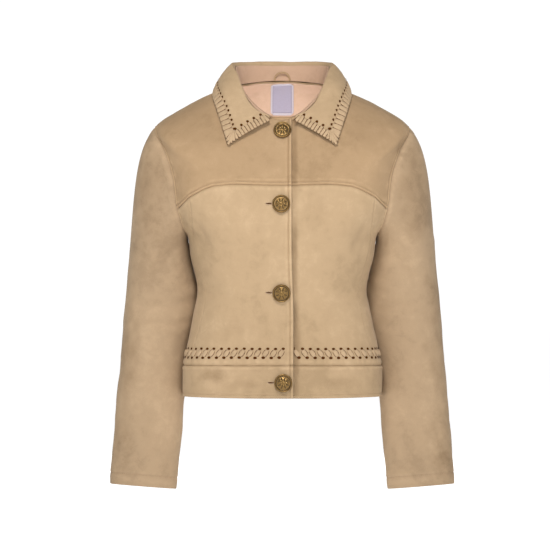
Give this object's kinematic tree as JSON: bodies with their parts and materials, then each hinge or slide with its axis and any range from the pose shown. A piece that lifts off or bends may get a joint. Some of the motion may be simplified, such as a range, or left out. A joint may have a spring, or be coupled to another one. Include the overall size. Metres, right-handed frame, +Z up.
{
  "type": "suede jacket",
  "caption": "Cropped button-front suede jacket with a turned-down collar, front yokes and lace whipped round the collar and above the waistband.",
  "frame": {"origin": "midway between the two neck points of the shoulders, where the wearer's neck and shoulders hold it up", "axes": "+Z up, the front faces -Y, +X towards the wearer's left"},
  "size_m": [0.57, 0.2362, 0.7079],
  "materials": {
    "suede": "napped suede, sand coloured, matt",
    "lace": "flat suede lace, matt",
    "facing": "brushed bonded backing, matt",
    "label": "woven satin, no lettering",
    "buttons": "antique brass"
  },
  "bodies": {
    "root": {"yoke_right": "suede", "yoke_left": "suede", "front_right": "suede", "front_left": "suede", "side_front_right": "suede", "side_front_left": "suede", "back": "suede", "waistband_right": "suede", "waistband_left": "suede", "waistband_back": "suede", "sleeve_right": "suede", "sleeve_left": "suede", "collar_stand": "facing", "collar_leaf": "suede", "collar_lace_edge": "lace", "collar_lace_front_right": "lace", "collar_lace_front_left": "lace", "hem_lace_right": "lace", "hem_lace_left": "lace", "hem_lace_back": "lace", "neck_facing": "facing", "label": "label", "hanger_loop": "suede", "button_1": "buttons", "button_2": "buttons", "button_3": "buttons", "button_4": "buttons"}
  },
  "joints": []
}
